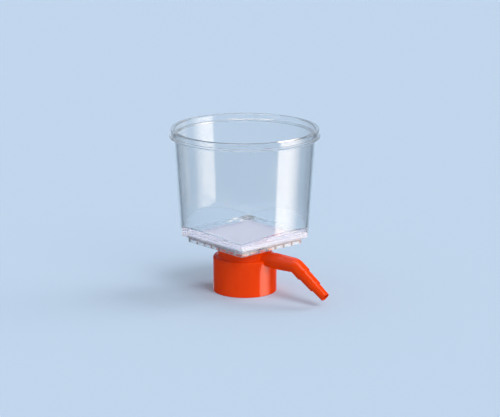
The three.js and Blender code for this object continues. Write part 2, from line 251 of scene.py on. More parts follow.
# %% Helpers for turned forms
def turned(name, corners, steps):
    """A closed form: an outline of (radius, height) corners in mm, spun about the Z axis."""
    points = [Vector((radius, 0, height)) * MM for radius, height in corners]
    bpy.ops.mesh.primitive_plane_add(size=MM)
    piece = bpy.context.active_object
    piece.name = name
    bpy.ops.object.mode_set(mode="EDIT")
    bpy.ops.mesh.select_mode(type="VERT")
    bpy.ops.mesh.merge(type="CENTER")
    bpy.ops.transform.translate(value=points[0])
    for start, end in zip(points, points[1:]):
        bpy.ops.mesh.extrude_region_move(TRANSFORM_OT_translate={"value": end - start})
    bpy.ops.mesh.select_all(action="SELECT")
    bpy.ops.mesh.spin(steps=steps, angle=math.tau, center=(0, 0, 0), axis=(0, 0, 1))
    bpy.ops.mesh.select_all(action="SELECT")
    bpy.ops.mesh.remove_doubles(threshold=MERGE)
    bpy.ops.mesh.normals_make_consistent(inside=False)
    bpy.ops.object.mode_set(mode="OBJECT")
    return piece


def round_rings(piece, rings, size, segments=3):
    """Rounds the circular edges at (radius, height) places in mm."""
    only(piece)
    bpy.ops.object.mode_set(mode="EDIT")

    def on_ring(place):
        return any(near(place.xy.length, r) and near(place.z, z) for r, z in rings)

    pick("edges", on_ring)
    bpy.ops.mesh.bevel(offset=size * MM, segments=segments, affect="EDGES")
    bpy.ops.object.mode_set(mode="OBJECT")


print("an outline is a list of (radius, height) corners in mm")


# %% Helpers for square forms
CORNER_SEGMENTS = 8
EDGE_SEGMENTS = 3


def keep_side(piece, place, away):
    """Cuts a piece with a plane through a place in mm and removes what lies on its away side."""
    only(piece)
    bpy.ops.object.mode_set(mode="EDIT")
    bpy.ops.mesh.select_all(action="SELECT")
    bpy.ops.mesh.bisect(plane_co=place * MM, plane_no=away, clear_outer=True, use_fill=True)
    bpy.ops.object.mode_set(mode="OBJECT")


def slab(name, half, bottom, top, corner=0.0, edge=0.0):
    """A square slab about the Z axis, with rounded corners and softened edges, in mm."""
    bpy.ops.mesh.primitive_cube_add(size=1, location=(0, 0, (bottom + top) / 2 * MM))
    piece = bpy.context.active_object
    piece.name = name
    piece.scale = Vector((2 * half, 2 * half, top - bottom)) * MM
    bpy.ops.object.transform_apply(location=True, rotation=True, scale=True)
    bpy.ops.object.mode_set(mode="EDIT")
    if corner:
        bpy.ops.mesh.select_mode(type="EDGE")
        bpy.ops.mesh.select_all(action="DESELECT")
        drawn = bmesh.from_edit_mesh(piece.data)
        for side in drawn.edges:
            side.select_set(near((side.verts[0].co - side.verts[1].co).xy.length / MM, 0))
        bpy.ops.mesh.bevel(offset=corner * MM, segments=CORNER_SEGMENTS, affect="EDGES")
    if edge:
        pick("edges", lambda place: near(place.z, bottom))
        bpy.ops.mesh.bevel(offset=edge * MM, segments=EDGE_SEGMENTS, affect="EDGES")
    bpy.ops.object.mode_set(mode="OBJECT")
    return piece


print("a slab's upright corners have", CORNER_SEGMENTS, "facets")


# %% Helpers for finishing a piece
SHARP = math.radians(35)  # edges sharper than this stay sharp


def smooth(piece):
    """Smooth shading except at real corners, with flat faces kept flat."""
    only(piece)
    bpy.ops.object.shade_smooth_by_angle(angle=SHARP)
    apply_modifier(piece, "WEIGHTED_NORMAL", keep_sharp=True)


def settle(piece, node, body, finish, turn=0.0):
    """Turns a finished piece, puts its place in its mesh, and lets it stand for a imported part."""
    only(piece)
    piece.rotation_euler.z = turn
    bpy.ops.object.transform_apply(location=True, rotation=True, scale=True)
    piece.data.materials.clear()
    piece.data.materials.append(finish)
    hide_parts(node)
    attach(piece, body)
    print(piece.name, "has", len(piece.data.polygons), "faces")


print("sharp edges are over", round(math.degrees(SHARP)), "degrees")

# %% [markdown]
# ## Finishes
#
# Colours are written as sRGB hex values, which is how colour pickers give them, and one function
# turns them to the linear values that the shader works with. One more function adds a node, sets it
# and links it. Every pattern reads Object coordinates, so it stays where it is on the plastic, and
# its scale comes from a size in millimetres.


# %% Helpers for finishes
def colour(hex_value):
    """An sRGB hex colour as a linear colour with full alpha."""
    channels = [int(hex_value[i : i + 2], 16) / 255 for i in (1, 3, 5)]
    linear = [c / 12.92 if c <= 0.04045 else ((c + 0.055) / 1.055) ** 2.4 for c in channels]
    return (*linear, 1.0)


def per_metre(size_mm):
    """The scale of a pattern whose features are this many mm across."""
    return 1 / (size_mm * MM)


def add(tree, kind, inputs=None, **settings):
    """Adds a node, sets it, and gives its inputs values or links."""
    node = tree.nodes.new(kind)
    for name, value in settings.items():
        setattr(node, name, value)
    for name, value in (inputs or {}).items():
        if isinstance(value, bpy.types.NodeSocket):
            tree.links.new(value, node.inputs[name])
        else:
            node.inputs[name].default_value = value
    return node


def new_finish(name):
    """An empty node material."""
    finish = bpy.data.materials.new(name)
    finish.use_nodes = True
    finish.node_tree.nodes.clear()
    return finish, finish.node_tree


print("a middle grey is", [round(channel, 3) for channel in colour("#808080")])

# %% [markdown]
# ## Clear polystyrene
#
# The funnel and the plate are injection moulded in clear polystyrene, a stiff and brilliant plastic.
# Its index of 1.59 is high, so it throws sharp highlights and its edges show as bright and dark
# lines. The melt leaves shallow waves as it flows into the mould, and handling makes the gloss a
# little uneven. A very small part of the light is scattered, which gives the plastic its body.
#
# Lamp light that is bent by clear plastic is found only by chance, so a shadow ray passes through a
# thin tinted sheet, and every other ray meets the true plastic.

# %% Clear polystyrene
FLOW_WAVES = 14  # mm across
FLOW_WAVE_HEIGHT = 0.01
HANDLING_MARKS = 5  # mm across


def clear_polystyrene(name, smoothest, roughest, clearness):
    """Moulded clear plastic: the eye sees its edges and highlights, and what is behind it."""
    finish, tree = new_finish(name)
    place = add(tree, "ShaderNodeTexCoord").outputs["Object"]
    flow = add(tree, "ShaderNodeTexNoise", {"Vector": place, "Scale": per_metre(FLOW_WAVES), "Detail": 2.0})
    waves = add(tree, "ShaderNodeBump", {"Height": flow.outputs["Fac"], "Distance": FLOW_WAVE_HEIGHT * MM})
    marks = add(
        tree,
        "ShaderNodeTexNoise",
        {"Vector": place, "Scale": per_metre(HANDLING_MARKS), "Detail": 4.0},
    )
    gloss = add(
        tree,
        "ShaderNodeMapRange",
        {"Value": marks.outputs["Fac"], "To Min": smoothest, "To Max": roughest},
    )
    plastic = add(
        tree,
        "ShaderNodeBsdfPrincipled",
        {
            "Base Color": colour("#FBFDFE"),
            "Roughness": gloss.outputs["Result"],
            "IOR": 1.59,
            "Transmission Weight": clearness,
            "Normal": waves.outputs["Normal"],
        },
    )
    sheet = add(tree, "ShaderNodeBsdfTransparent", {"Color": colour("#FBFCFD")})
    shadow = add(tree, "ShaderNodeLightPath").outputs["Is Shadow Ray"]
    both = add(tree, "ShaderNodeMixShader", {"Fac": shadow, 1: plastic.outputs[0], 2: sheet.outputs[0]})
    add(tree, "ShaderNodeOutputMaterial", {"Surface": both.outputs[0]})
    print(name, "is", clearness, "clear")
    return finish


polished = clear_polystyrene("polished_polystyrene", smoothest=0.01, roughest=0.05, clearness=0.985)
satin = clear_polystyrene("satin_polystyrene", smoothest=0.03, roughest=0.08, clearness=0.9)

# %% [markdown]
# ## Orange polyethylene
#
# The adapter and the hose connector are moulded in dyed polyethylene, which seals well on glass and
# on hose. The dye is strong and even, with slow clouds a few millimetres across. The surface is
# smooth and glossy from a polished mould, and a fine skin on it breaks up the highlights slightly.

# %% Orange polyethylene
DYE_CLOUDS = 9  # mm across
MOULD_SKIN = 0.9
MOULD_SKIN_HEIGHT = 0.006


def orange_polyethylene():
    """Glossy dyed plastic: a deep even orange under clean highlights."""
    finish, tree = new_finish("orange_polyethylene")
    place = add(tree, "ShaderNodeTexCoord").outputs["Object"]
    clouds = add(tree, "ShaderNodeTexNoise", {"Vector": place, "Scale": per_metre(DYE_CLOUDS), "Detail": 3.0})
    dye = add(
        tree,
        "ShaderNodeMix",
        {"Factor": clouds.outputs["Fac"], 6: colour("#F23A02"), 7: colour("#FC4A04")},
        data_type="RGBA",
    )
    skin = add(tree, "ShaderNodeTexNoise", {"Vector": place, "Scale": per_metre(MOULD_SKIN), "Detail": 3.0})
    grain = add(tree, "ShaderNodeBump", {"Height": skin.outputs["Fac"], "Distance": MOULD_SKIN_HEIGHT * MM})
    gloss = add(tree, "ShaderNodeMapRange", {"Value": clouds.outputs["Fac"], "To Min": 0.1, "To Max": 0.18})
    plastic = add(
        tree,
        "ShaderNodeBsdfPrincipled",
        {
            "Base Color": dye.outputs[2],
            "Roughness": gloss.outputs["Result"],
            "IOR": 1.51,
            "Normal": grain.outputs["Normal"],
        },
    )
    add(tree, "ShaderNodeOutputMaterial", {"Surface": plastic.outputs[0]})
    print("dye clouds are", DYE_CLOUDS, "mm across")
    return finish


orange = orange_polyethylene()

# %% [markdown]
# ## Filter membrane
#
# The membrane is a cast sheet of white polymer foam with pores too small to see, so it is matt and
# a little cool in tone. It is thin enough for light to soak through, which subsurface scattering
# gives. Its pores are well under a thousandth of a millimetre: the bump here is drawn far coarser,
# at half a millimetre, so that the sheet keeps a faint papery tooth.

# %% Filter membrane
CASTING_CLOUDS = 12  # mm across
PAPER_TOOTH = 0.5
PAPER_TOOTH_HEIGHT = 0.03
LIGHT_SOAK = 0.2  # how far light travels in the sheet, in mm


def filter_membrane():
    """Porous white sheet: matt, soft and slightly cool, and bright from both sides."""
    finish, tree = new_finish("filter_membrane")
    place = add(tree, "ShaderNodeTexCoord").outputs["Object"]
    clouds = add(
        tree,
        "ShaderNodeTexNoise",
        {"Vector": place, "Scale": per_metre(CASTING_CLOUDS), "Detail": 2.0},
    )
    white = add(
        tree,
        "ShaderNodeMix",
        {"Factor": clouds.outputs["Fac"], 6: colour("#D6D9F2"), 7: colour("#DDE0F6")},
        data_type="RGBA",
    )
    tooth = add(tree, "ShaderNodeTexNoise", {"Vector": place, "Scale": per_metre(PAPER_TOOTH), "Detail": 4.0})
    paper = add(tree, "ShaderNodeBump", {"Height": tooth.outputs["Fac"], "Distance": PAPER_TOOTH_HEIGHT * MM})
    foam = add(
        tree,
        "ShaderNodeBsdfPrincipled",
        {
            "Base Color": white.outputs[2],
            "Roughness": 0.85,
            "IOR": 1.48,
            "Subsurface Weight": 1.0,
            "Subsurface Radius": (1.0, 1.0, 1.0),
            "Subsurface Scale": LIGHT_SOAK * MM,
            "Normal": paper.outputs["Normal"],
        },
    )
    add(tree, "ShaderNodeOutputMaterial", {"Surface": foam.outputs[0]})
    print("light soaks", LIGHT_SOAK, "mm into the membrane")
    return finish


membrane_white = filter_membrane()

# %% [markdown]
# ## Pale silicone
#
# The seal in the bottle's neck is a moulded ring of soft silicone. It is matt, and fine dust clings
# to it in small patches, so its grey wanders a little over about a millimetre.

# %% Pale silicone
DUST_PATCHES = 1.2  # mm across


def pale_silicone():
    """Soft rubber: a dull pale grey with no clear reflections."""
    finish, tree = new_finish("pale_silicone")
    place = add(tree, "ShaderNodeTexCoord").outputs["Object"]
    dust = add(tree, "ShaderNodeTexNoise", {"Vector": place, "Scale": per_metre(DUST_PATCHES), "Detail": 4.0})
    grey = add(
        tree,
        "ShaderNodeMix",
        {"Factor": dust.outputs["Fac"], 6: colour("#D6D6D0"), 7: colour("#E2E2DC")},
        data_type="RGBA",
    )
    rubber = add(
        tree,
        "ShaderNodeBsdfPrincipled",
        {"Base Color": grey.outputs[2], "Roughness": 0.55, "IOR": 1.42},
    )
    add(tree, "ShaderNodeOutputMaterial", {"Surface": rubber.outputs[0]})
    print("dust patches are", DUST_PATCHES, "mm across")
    return finish


silicone = pale_silicone()

# %% [markdown]
# ## The floor
#
# A pale blue floor takes the object's soft shadow. It is quite matt, or the light panels would show
# in it as streaks. A ray that a shiny surface has already reflected passes through the floor, so
# that the clear plastic doesn't fill up with floor colour from below.

# %% Lay the floor
BACKGROUND = "#BAD1E8"
FLOOR = "#C0D4EA"
ROOM = "#2C343E"
FLOOR_SIDE = 12  # metres

bpy.ops.mesh.primitive_plane_add(size=FLOOR_SIDE, location=(0, 0, 0))
floor = bpy.context.active_object
floor.name = "floor"
floor_finish, tree = new_finish("pale_floor")
matt = {"Base Color": colour(FLOOR), "Roughness": 0.7, "Specular IOR Level": 0.0}
paint = add(tree, "ShaderNodeBsdfPrincipled", matt)
gap = add(tree, "ShaderNodeBsdfTransparent")
reflected = add(tree, "ShaderNodeLightPath").outputs["Glossy Depth"]
both = add(tree, "ShaderNodeMixShader", {"Fac": reflected, 1: paint.outputs[0], 2: gap.outputs[0]})
add(tree, "ShaderNodeOutputMaterial", {"Surface": both.outputs[0]})
floor.data.materials.append(floor_finish)
floor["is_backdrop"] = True
print("floor:", FLOOR_SIDE, "m on a side")

# %% [markdown]
# ## The studio
#
# Clear plastic is seen by what it reflects and bends. Product photographers put a bright sweep
# behind it and leave the rest of the room dark, so that its edges draw dark lines on a pale ground.
# The world does the same. A ray that has not been reflected meets the pale background. A reflected
# ray meets the dark room, unless it leaves towards the sweep. Rays that were reflected inside the
# plastic find some of the sweep's light in every direction, and all of it above and far below.
# Light that falls on matt surfaces is an even white from all sides.

# %% Surround the object
AMBIENT = 0.5
SWEEP_EDGES = (0.8, 0.99)  # the cosine of the angle from the sweep's middle
ABOVE = (-0.1, 0.2)  # the steepness of a ray that rises, as its Z
BELOW = (-0.45, -0.75)
STRAY_LIGHT = 0.15

world = bpy.data.worlds.new("studio")
bpy.context.scene.world = world
world.use_nodes = True
tree = world.node_tree
tree.nodes.clear()
path = add(tree, "ShaderNodeLightPath").outputs
direction = add(tree, "ShaderNodeTexCoord").outputs["Generated"]
height = add(tree, "ShaderNodeSeparateXYZ", {"Vector": direction}).outputs["Z"]
away = add(tree, "ShaderNodeVectorMath", {0: direction, 1: -towards_camera}, operation="DOT_PRODUCT")


def fade(value, edges):
    """A soft step of a value from 0 at the first edge to 1 at the second."""
    ends = {"Value": value, "From Min": edges[0], "From Max": edges[1]}
    return add(tree, "ShaderNodeMapRange", ends, interpolation_type="SMOOTHSTEP").outputs["Result"]


def combined(first, second, operation):
    """Two values joined by a math operation."""
    return add(tree, "ShaderNodeMath", {0: first, 1: second}, operation=operation).outputs["Value"]


sweep = fade(away.outputs["Value"], SWEEP_EDGES)
unreflected = combined(path["Glossy Depth"], 0.5, "LESS_THAN")
pale = combined(sweep, unreflected, "MAXIMUM")
within_plastic = combined(path["Transmission Depth"], 0.5, "GREATER_THAN")
steep = combined(fade(height, ABOVE), fade(height, BELOW), "MAXIMUM")
stray = combined(within_plastic, combined(steep, STRAY_LIGHT, "MAXIMUM"), "MULTIPLY")
tone = add(
    tree,
    "ShaderNodeMix",
    {"Factor": combined(pale, stray, "MAXIMUM"), 6: colour(ROOM), 7: colour(BACKGROUND)},
    data_type="RGBA",
)
seen = add(tree, "ShaderNodeBackground", {"Color": tone.outputs[2]})
ambient = add(tree, "ShaderNodeBackground", {"Color": colour("#FFFFFF"), "Strength": AMBIENT})
scattered = {"Fac": path["Diffuse Depth"], 1: seen.outputs[0], 2: ambient.outputs[0]}
both = add(tree, "ShaderNodeMixShader", scattered)
add(tree, "ShaderNodeOutputWorld", {"Surface": both.outputs[0]})
print("ambient light:", AMBIENT)

# %% [markdown]
# ## Lamps
#
# Two broad lamps light the matt and coloured surfaces: the key from the front right, and a weaker
# one from behind on the same side. They are left out of reflections, where two round lamps would
# look nothing like a studio. Panels make the highlights instead.

# %% Hang the lamps
LAMP_WIDTH = math.radians(30)
LAMPS = {"key_lamp": (78, 38, 1.7), "side_lamp": (145, 25, 1.4)}  # azimuth, elevation, strength


def towards(azimuth, elevation):
    """The direction from the object to an azimuth and elevation in degrees."""
    turn, lift = math.radians(azimuth), math.radians(elevation)
    return Vector((math.sin(turn) * math.cos(lift), -math.cos(turn) * math.cos(lift), math.sin(lift)))


for name, (azimuth, elevation, strength) in LAMPS.items():
    out = towards(azimuth, elevation)
    bpy.ops.object.light_add(type="SUN", location=out)
    lamp = bpy.context.active_object
    lamp.name = name
    lamp.rotation_euler = out.to_track_quat("Z", "Y").to_euler()
    lamp.data.energy = strength
    lamp.data.angle = LAMP_WIDTH
    lamp.visible_glossy = False
    lamp.visible_transmission = False
print("lamps:", ", ".join(LAMPS))

# %% [markdown]
# ## Light panels
#
# A tall softbox at the side gives the upright bright bands on the funnel's wall and on the skirt.
# One above gives the thin highlights on the rim and the connector. Each glows only for a ray that
# something shiny has reflected, and fades out across its width, so the bands have soft sides.

# %% Set up the panels
PANEL_COLOUR = "#FFE9D2"
PANEL_MIDDLE = 70 * MM  # the height that the panels face
LEFT_EDGE = -0.5  # of the width, from the middle
RIGHT_EDGE = 0.501  # a hair past the edge, so that a panel that doesn't fade has a fade to divide by
PANEL_FADE = 0.12  # of the width, at the left edge


def light_panel(name, azimuth, elevation, size, strength, fades_from=0.5):
    """A glowing panel a metre away that faces the object and fades from a place in its width."""
    out = towards(azimuth, elevation)
    bpy.ops.mesh.primitive_plane_add(size=1, location=Vector((0, 0, PANEL_MIDDLE)) + out)
    panel = bpy.context.active_object
    panel.name = name
    panel.rotation_euler = out.to_track_quat("Z", "Y").to_euler()
    panel.scale = (*size, 1)
    glow, tree = new_finish(name)
    place = add(tree, "ShaderNodeTexCoord").outputs["Object"]
    across = add(tree, "ShaderNodeSeparateXYZ", {"Vector": place}).outputs["X"]
    right = {"From Min": fades_from, "From Max": RIGHT_EDGE, "To Min": strength, "To Max": 0.0}
    left = {"From Min": LEFT_EDGE, "From Max": LEFT_EDGE + PANEL_FADE}
    falling, rising = [
        add(tree, "ShaderNodeMapRange", {"Value": across, **ends}, interpolation_type="SMOOTHSTEP")
        for ends in (right, left)
    ]
    shares = {0: falling.outputs["Result"], 1: rising.outputs["Result"]}
    level = add(tree, "ShaderNodeMath", shares, operation="MULTIPLY").outputs["Value"]
    light = add(tree, "ShaderNodeEmission", {"Color": colour(PANEL_COLOUR), "Strength": level})
    gap = add(tree, "ShaderNodeBsdfTransparent")
    reflected = add(tree, "ShaderNodeLightPath").outputs["Glossy Depth"]
    both = add(tree, "ShaderNodeMixShader", {"Fac": reflected, 1: gap.outputs[0], 2: light.outputs[0]})
    add(tree, "ShaderNodeOutputMaterial", {"Surface": both.outputs[0]})
    panel.data.materials.append(glow)
    panel.visible_diffuse = False
    panel.visible_shadow = False
    panel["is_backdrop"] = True
    print(name, "is", size[0], "by", size[1], "m")


light_panel("side_panel", azimuth=121, elevation=-15, size=(1.02, 0.55), strength=4.2, fades_from=-0.15)
light_panel("top_panel", azimuth=20, elevation=75, size=(0.9, 0.5), strength=3.0)

# %% [markdown]
# ## The funnel
#
# The funnel is one injection moulding in clear plastic. Four sloping floors bring its round wall
# down to a square opening, and below them is a square flange. A loft from a circle to a square
# could give the bowl, but it would warp the floors, which are flat on the real one. So the outside
# and the inside are each turned from an outline, and four planes cut the slopes of the floors. The
# curved lines between wall and floors come out where they should by themselves.

# %% Turn the funnel's outside
FUNNEL_STEPS = 288
CLEAR = 1.0  # of a cutting form past the surface that it cuts
BEAD_ROUND = 0.448
BEAD_ROOT_ROUND = 0.4
FLOOR_INSET = 0.05  # keeps the cuts just inside the flange's sides


def between_floors(piece, half, height):
    """Cuts the four sloping floors, which pass through a square at a height."""
    for side in range(4):
        out = Vector((math.cos(side * math.pi / 2), math.sin(side * math.pi / 2), 0))
        away = out * math.sin(FLOOR_SLOPE) - Vector((0, 0, math.cos(FLOOR_SLOPE)))
        keep_side(piece, out * half + Vector((0, 0, height)), away)


outside_foot = FLANGE_BOTTOM + CLEAR
bead_radius = rim_radius + BEAD_OVERHANG
outside = turned(
    "clear_funnel",
    [
        (0, outside_foot),
        (wall_radius(outside_foot), outside_foot),
        (wall_radius(bead_bottom), bead_bottom),
        (bead_radius, bead_bottom),
        (bead_radius, bead_top),
        (rim_radius - GROOVE_DEPTH, bead_top),
        (rim_radius - GROOVE_DEPTH, bead_top + GROOVE_HEIGHT),
        (rim_radius, bead_top + GROOVE_HEIGHT + GROOVE_DEPTH),
        (rim_radius, RIM_TOP),
        (0, RIM_TOP),
    ],
    FUNNEL_STEPS,
)
round_rings(outside, [(bead_radius, bead_bottom), (bead_radius, bead_top)], BEAD_ROUND)
round_rings(outside, [(rim_radius, RIM_TOP)], RIM_EDGE)
round_rings(outside, [(wall_radius(bead_bottom), bead_bottom)], BEAD_ROOT_ROUND)
between_floors(outside, FLANGE_HALF - FLOOR_INSET, flange_top)
print("outside:", len(outside.data.polygons), "faces")

# %% Turn the bowl
LEDGE_ROUND = 0.4
MOUTH_ROUND = 0.2

ledge = RIM_TOP - RIM_POCKET
bowl = turned(
    "bowl",
    [
        (0, FLANGE_BOTTOM),
        (wall_radius(FLANGE_BOTTOM) - WALL, FLANGE_BOTTOM),
        (wall_radius(ledge) - WALL, ledge),
        (mouth_radius, ledge),
        (mouth_radius, RIM_TOP - RIM_EDGE),
        (mouth_radius + RIM_EDGE, RIM_TOP),
        (mouth_radius + RIM_EDGE, RIM_TOP + CLEAR),
        (0, RIM_TOP + CLEAR),
    ],
    FUNNEL_STEPS,
)
ledge_rings = [(wall_radius(ledge) - WALL, ledge), (mouth_radius, ledge)]
mouth_rings = [(mouth_radius, RIM_TOP - RIM_EDGE), (mouth_radius + RIM_EDGE, RIM_TOP)]
round_rings(bowl, ledge_rings, LEDGE_ROUND)
round_rings(bowl, mouth_rings, MOUTH_ROUND)
between_floors(bowl, OPENING_HALF, lip_top)
keep_side(bowl, Vector((0, 0, lip_top)), Vector((0, 0, -1)))
print("bowl:", len(bowl.data.polygons), "faces")

# %% Soften the corners between the floors and the wall
FLOOR_CORNER = 1.0
REAL_CORNER = math.radians(15)  # flatter edges are only facets of the wall

only(bowl)
bpy.ops.object.mode_set(mode="EDIT")
bpy.ops.mesh.select_mode(type="EDGE")
bpy.ops.mesh.select_all(action="DESELECT")
drawn = bmesh.from_edit_mesh(bowl.data)
for line in drawn.edges:
    above_lip = all(corner.co.z / MM > lip_top + 0.01 for corner in line.verts)
    below_rim = all(corner.co.z / MM < ledge - 2 * LEDGE_ROUND for corner in line.verts)
    line.select_set(above_lip and below_rim and line.calc_face_angle(0) > REAL_CORNER)
bmesh.update_edit_mesh(bowl.data)
bpy.ops.mesh.bevel(offset=FLOOR_CORNER * MM, segments=4, affect="EDGES")
bpy.ops.object.mode_set(mode="OBJECT")
print("corners rounded by", FLOOR_CORNER, "mm")

# %% Add the flange and the keys on the rim
FLANGE_EDGE = 0.35
KEY_LENGTH = 4.0  # most of it is sunk into the rim
KEY_EDGE = 0.3

flange = slab("flange", FLANGE_HALF, FLANGE_BOTTOM, flange_top, FLANGE_CORNER, FLANGE_EDGE)
combine(outside, flange, "UNION")

key_top = RIM_TOP - RIM_EDGE
key_rise = RIM_HEIGHT - RIM_EDGE - GROOVE_HEIGHT
key_middle = rim_radius + KEY_HEIGHT - KEY_LENGTH / 2
for turn in (KEY_TURN, KEY_TURN + math.pi):
    bpy.ops.mesh.primitive_cube_add(size=1, rotation=(0, 0, turn))
    key = bpy.context.active_object
    key.name = "key"
    key.scale = Vector((KEY_LENGTH, KEY_WIDTH, key_rise)) * MM
    out = Vector((math.cos(turn), math.sin(turn), 0))
    key.location = (key_middle * out + Vector((0, 0, key_top - key_rise / 2))) * MM
    bpy.ops.object.transform_apply(location=True, rotation=True, scale=True)
    apply_modifier(key, "BEVEL", width=KEY_EDGE * MM, segments=3)
    combine(outside, key, "UNION")
print("with the flange:", len(outside.data.polygons), "faces")

# %% Hollow the funnel
LIP_OVERLAP = 0.05  # of the opening's cut into the bowl's

combine(outside, bowl, "DIFFERENCE")
opening = slab("opening", OPENING_HALF, FLANGE_BOTTOM - CLEAR, lip_top + LIP_OVERLAP)
combine(outside, opening, "DIFFERENCE")
recess = slab("recess", RECESS_HALF, FLANGE_BOTTOM - CLEAR, recess_top, RECESS_CORNER)
combine(outside, recess, "DIFFERENCE")
print("hollowed:", len(outside.data.polygons), "faces")

# %% Round the lip
LIP_ROUND = 0.5


def on_lip(place):
    """Whether a place in mm is on the edge between the floors and the opening's upright sides."""
    return near(max(abs(place.x), abs(place.y)), OPENING_HALF) and near(place.z, lip_top)


only(outside)
bpy.ops.object.mode_set(mode="EDIT")
pick("edges", on_lip)
bpy.ops.mesh.bevel(offset=LIP_ROUND * MM, segments=4, affect="EDGES", clamp_overlap=True)
bpy.ops.object.mode_set(mode="OBJECT")
smooth(outside)
settle(outside, "funnel", "filter", polished, HOLDER_TURN)

# %% [markdown]
# ## The membrane
#
# A square cut from a thin white sheet. The funnel's flange and the plate press on its border, and
# where clear plastic touches it with no air between, its white shows through the plastic. So its two
# faces reach just into the pieces that hold it, by far less than a hair. It starts as a cube that is
# scaled flat, and its upright edges are bevelled round.

# %% Lay the membrane
TOUCH = 0.005
PLATE_HALF = 33.6
PLATE_CORNER = 1.2

plate_top = plate_high.z / MM
sheet = slab("membrane_sheet", PLATE_HALF, plate_top - TOUCH, recess_top + TOUCH, PLATE_CORNER)
smooth(sheet)
settle(sheet, "membrane", "filter", membrane_white, HOLDER_TURN)

# %% [markdown]
# ## The support plate
#
# The plate holds the membrane flat against the pull of the vacuum. Underneath, it has a ring that
# finds the adapter's collar, and a tube that drips the filtrate into the bottle. Both are turned
# from an outline and joined to a slab, and one bore is cut down through all of it.

# %% Model the plate with its ring and drip tube
PLATE_BOTTOM = 40.5
RING_OUTSIDE = 20.3
RING_WALL = 1.8
RING_DEPTH = 3
DRIP_OUTSIDE = 6
DRIP_BORE = 4
DRIP_EDGE = 0.7
OVERLAP = 0.3  # of a form that is joined to another
ROUND_STEPS = 144
SMALL_ROUND_STEPS = 72

ring_top = PLATE_BOTTOM + OVERLAP
drip_end = plate_low.z / MM


def pipe(name, inside, outside, bottom, top, steps=ROUND_STEPS):
    """A ring or tube about the Z axis, in mm."""
    corners = [(inside, bottom), (outside, bottom), (outside, top), (inside, top), (inside, bottom)]
    return turned(name, corners, steps)


def rod(name, radius, bottom, top, steps=SMALL_ROUND_STEPS):
    """A round bar about the Z axis, in mm."""
    return turned(name, [(0, bottom), (radius, bottom), (radius, top), (0, top)], steps)


plate = slab("clear_plate", PLATE_HALF, PLATE_BOTTOM, plate_top, PLATE_CORNER)
ring = pipe("ring", RING_OUTSIDE - RING_WALL, RING_OUTSIDE, PLATE_BOTTOM - RING_DEPTH, ring_top)
combine(plate, ring, "UNION")
drip = pipe("drip_tube", DRIP_BORE, DRIP_OUTSIDE, drip_end, ring_top, SMALL_ROUND_STEPS)
round_rings(drip, [(DRIP_OUTSIDE, drip_end), (DRIP_BORE, drip_end)], DRIP_EDGE)
combine(plate, drip, "UNION")
combine(plate, rod("outlet", DRIP_BORE, drip_end - CLEAR, plate_top + CLEAR), "DIFFERENCE")
print("drip tube ends", round(drip_end, 2), "mm up")

# %% [markdown]
# ## The plate's channels
#
# Straight channels in the top carry the filtrate to a gutter across the middle, and the gutter
# leads to the hole. One channel is modelled, an Array modifier repeats it, and all are cut at once.

# %% Cut the channels
CHANNEL_PITCH = 4.8
CHANNEL_COUNT = 11
CHANNEL_WIDTH = 2.6
CHANNEL_DEPTH = 1.6
CHANNEL_HALF = 26.8  # half its length
GUTTER_WIDTH = 5
GUTTER_DEPTH = 2.2
CHANNEL_EDGE = 0.4

channels_width = (CHANNEL_COUNT - 1) * CHANNEL_PITCH + CHANNEL_WIDTH


def bar(name, low, high, edge):
    """A box between two corners in mm, with its edges rounded."""
    low, high = Vector(low), Vector(high)
    bpy.ops.mesh.primitive_cube_add(size=1, location=(low + high) / 2 * MM)
    piece = bpy.context.active_object
    piece.name = name
    piece.scale = (high - low) * MM
    bpy.ops.object.transform_apply(location=True, rotation=True, scale=True)
    apply_modifier(piece, "BEVEL", width=edge * MM, segments=3)
    return piece


def row(piece, count, pitch):
    """Repeats a piece along Y, centred where the piece stood."""
    step = Vector((0, pitch * MM, 0))
    steps = {"use_relative_offset": False, "use_constant_offset": True, "constant_offset_displace": step}
    apply_modifier(piece, "ARRAY", count=count, **steps)
    piece.location -= step * (count - 1) / 2
    bpy.ops.object.transform_apply(location=True, rotation=False, scale=False)


channel = bar(
    "channel",
    (-CHANNEL_HALF, -CHANNEL_WIDTH / 2, plate_top - CHANNEL_DEPTH),
    (CHANNEL_HALF, CHANNEL_WIDTH / 2, plate_top + CLEAR),
    CHANNEL_EDGE,
)
row(channel, CHANNEL_COUNT, CHANNEL_PITCH)
combine(plate, channel, "DIFFERENCE")
gutter = bar(
    "gutter",
    (-GUTTER_WIDTH / 2, -channels_width / 2, plate_top - GUTTER_DEPTH),
    (GUTTER_WIDTH / 2, channels_width / 2, plate_top + CLEAR),
    CHANNEL_EDGE,
)
combine(plate, gutter, "DIFFERENCE")
print(CHANNEL_COUNT, "channels over", round(channels_width, 1), "mm")

# %% [markdown]
# ## The plate's pockets
#
# Square pockets under the plate's edges keep the moulding thin, so that it cools without sinking.
# From the side, the ribs between them show as a row of beads. They lie on one grid, and those that
# would run into the adapter's collar are left out.

# %% Cut the pockets
SEAT_RADIUS = 22.8
SEAT_MARGIN = 1.2
POCKETS_A_SIDE = 7
POCKET_WALL = 1.8
POCKET_DEPTH = 2.4
POCKET_EDGE = 0.5
PLATE_EDGE = 0.15

pitch = (2 * PLATE_HALF - POCKET_WALL) / POCKETS_A_SIDE
half = (pitch - POCKET_WALL) / 2
places = [(step - (POCKETS_A_SIDE - 1) / 2) * pitch for step in range(POCKETS_A_SIDE)]
kept = 0
for x in places:
    for y in places:
        nearest = math.hypot(max(abs(x) - half, 0), max(abs(y) - half, 0))
        if nearest > SEAT_RADIUS + SEAT_MARGIN:
            low = (x - half, y - half, PLATE_BOTTOM - CLEAR)
            high = (x + half, y + half, PLATE_BOTTOM + POCKET_DEPTH)
            combine(plate, bar("pocket", low, high, POCKET_EDGE), "DIFFERENCE")
            kept += 1
print(kept, "pockets", round(2 * half, 2), "mm wide")

